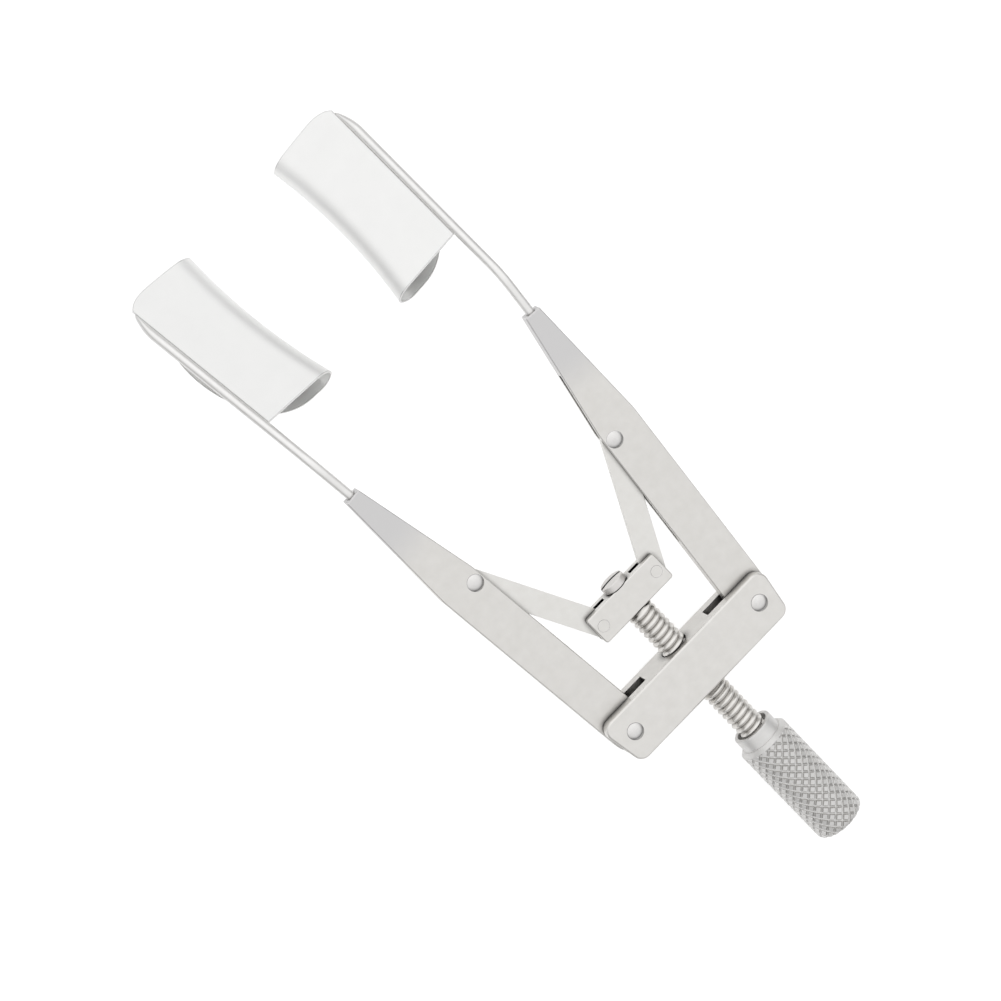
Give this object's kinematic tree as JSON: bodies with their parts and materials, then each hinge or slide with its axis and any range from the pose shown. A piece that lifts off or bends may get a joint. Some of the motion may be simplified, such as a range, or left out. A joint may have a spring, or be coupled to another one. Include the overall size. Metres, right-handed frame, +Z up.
{
  "type": "eye speculum",
  "caption": "Self-retaining eyelid speculum: two hinged arms with solid saddle blades on bent wires, spread by links and a knurled thumbscrew.",
  "frame": {"origin": "On the table under the middle of the object's bounding box, where it lies on its knob and its two blades.", "axes": "+Y runs from the knob to the blades, +X to the instrument's right arm, +Z up from the table. The screw axis rises 11.5 degrees toward the blades."},
  "size_m": [0.0262, 0.0772, 0.014],
  "materials": {
    "satin_bar": "satin ground",
    "satin_arm": "satin ground",
    "satin_link": "satin ground",
    "bright_pin": "bright, hammered and polished",
    "screw_steel": "turned",
    "knurled_knob": "diamond knurled, matt",
    "drawn_wire": "drawn and polished",
    "satin_blade": "fine bead blasted"
  },
  "bodies": {
    "base": {"base_bar": "satin_bar", "base_pin_left": "bright_pin", "base_pin_right": "bright_pin"},
    "carriage": {"crosshead": "satin_bar", "cross_pin_left": "bright_pin", "cross_pin_right": "bright_pin"},
    "screw": {"drive_screw": "screw_steel", "retaining_screw": "screw_steel", "knob": "knurled_knob"},
    "arm_right": {"arm_right": "satin_arm", "arm_pin_right": "bright_pin", "wire_right": "drawn_wire", "blade_right": "satin_blade"},
    "arm_left": {"arm_left": "satin_arm", "arm_pin_left": "bright_pin", "wire_left": "drawn_wire", "blade_left": "satin_blade"},
    "link_right": {"link_right": "satin_link"},
    "link_left": {"link_left": "satin_link"}
  },
  "joints": [
    {"name": "screw_turn", "type": "hinge", "parent": "carriage", "child": "screw", "pos_m": [0, -0.00972, 0.00811], "axis": [0, 0.98, 0.1989], "range_deg": [-523.08, 1394.05]},
    {"name": "crosshead_slide", "type": "slide", "parent": "base", "child": "carriage", "axis": [0, 0.98, 0.1989], "range_m": [-0.0009, 0.0024]},
    {"name": "arm_right_swing", "type": "hinge", "parent": "base", "child": "arm_right", "pos_m": [0.0078, -0.01804, 0.00642], "axis": [0, -0.1989, 0.98], "range_deg": [-12.69, 4.77]},
    {"name": "arm_left_swing", "type": "hinge", "parent": "base", "child": "arm_left", "pos_m": [-0.0078, -0.01804, 0.00642], "axis": [0, -0.1989, 0.98], "range_deg": [-4.77, 12.69]},
    {"name": "link_right_swing", "type": "hinge", "parent": "carriage", "child": "link_right", "pos_m": [0.0033, -0.00972, 0.00811], "axis": [0, -0.1989, 0.98], "range_deg": [-23.91, 8.98]},
    {"name": "link_left_swing", "type": "hinge", "parent": "carriage", "child": "link_left", "pos_m": [-0.0033, -0.00972, 0.00811], "axis": [0, -0.1989, 0.98], "range_deg": [-8.98, 23.91]}
  ],
  "couplings": [
    {"joint": "screw_turn", "follows": "crosshead_slide", "rad_per_m": 10134},
    {"joint": "arm_right_swing", "follows": "crosshead_slide", "rad_per_m": -92.11},
    {"joint": "arm_left_swing", "follows": "crosshead_slide", "rad_per_m": 92.11},
    {"joint": "link_right_swing", "follows": "crosshead_slide", "rad_per_m": -173.7},
    {"joint": "link_left_swing", "follows": "crosshead_slide", "rad_per_m": 173.7}
  ]
}
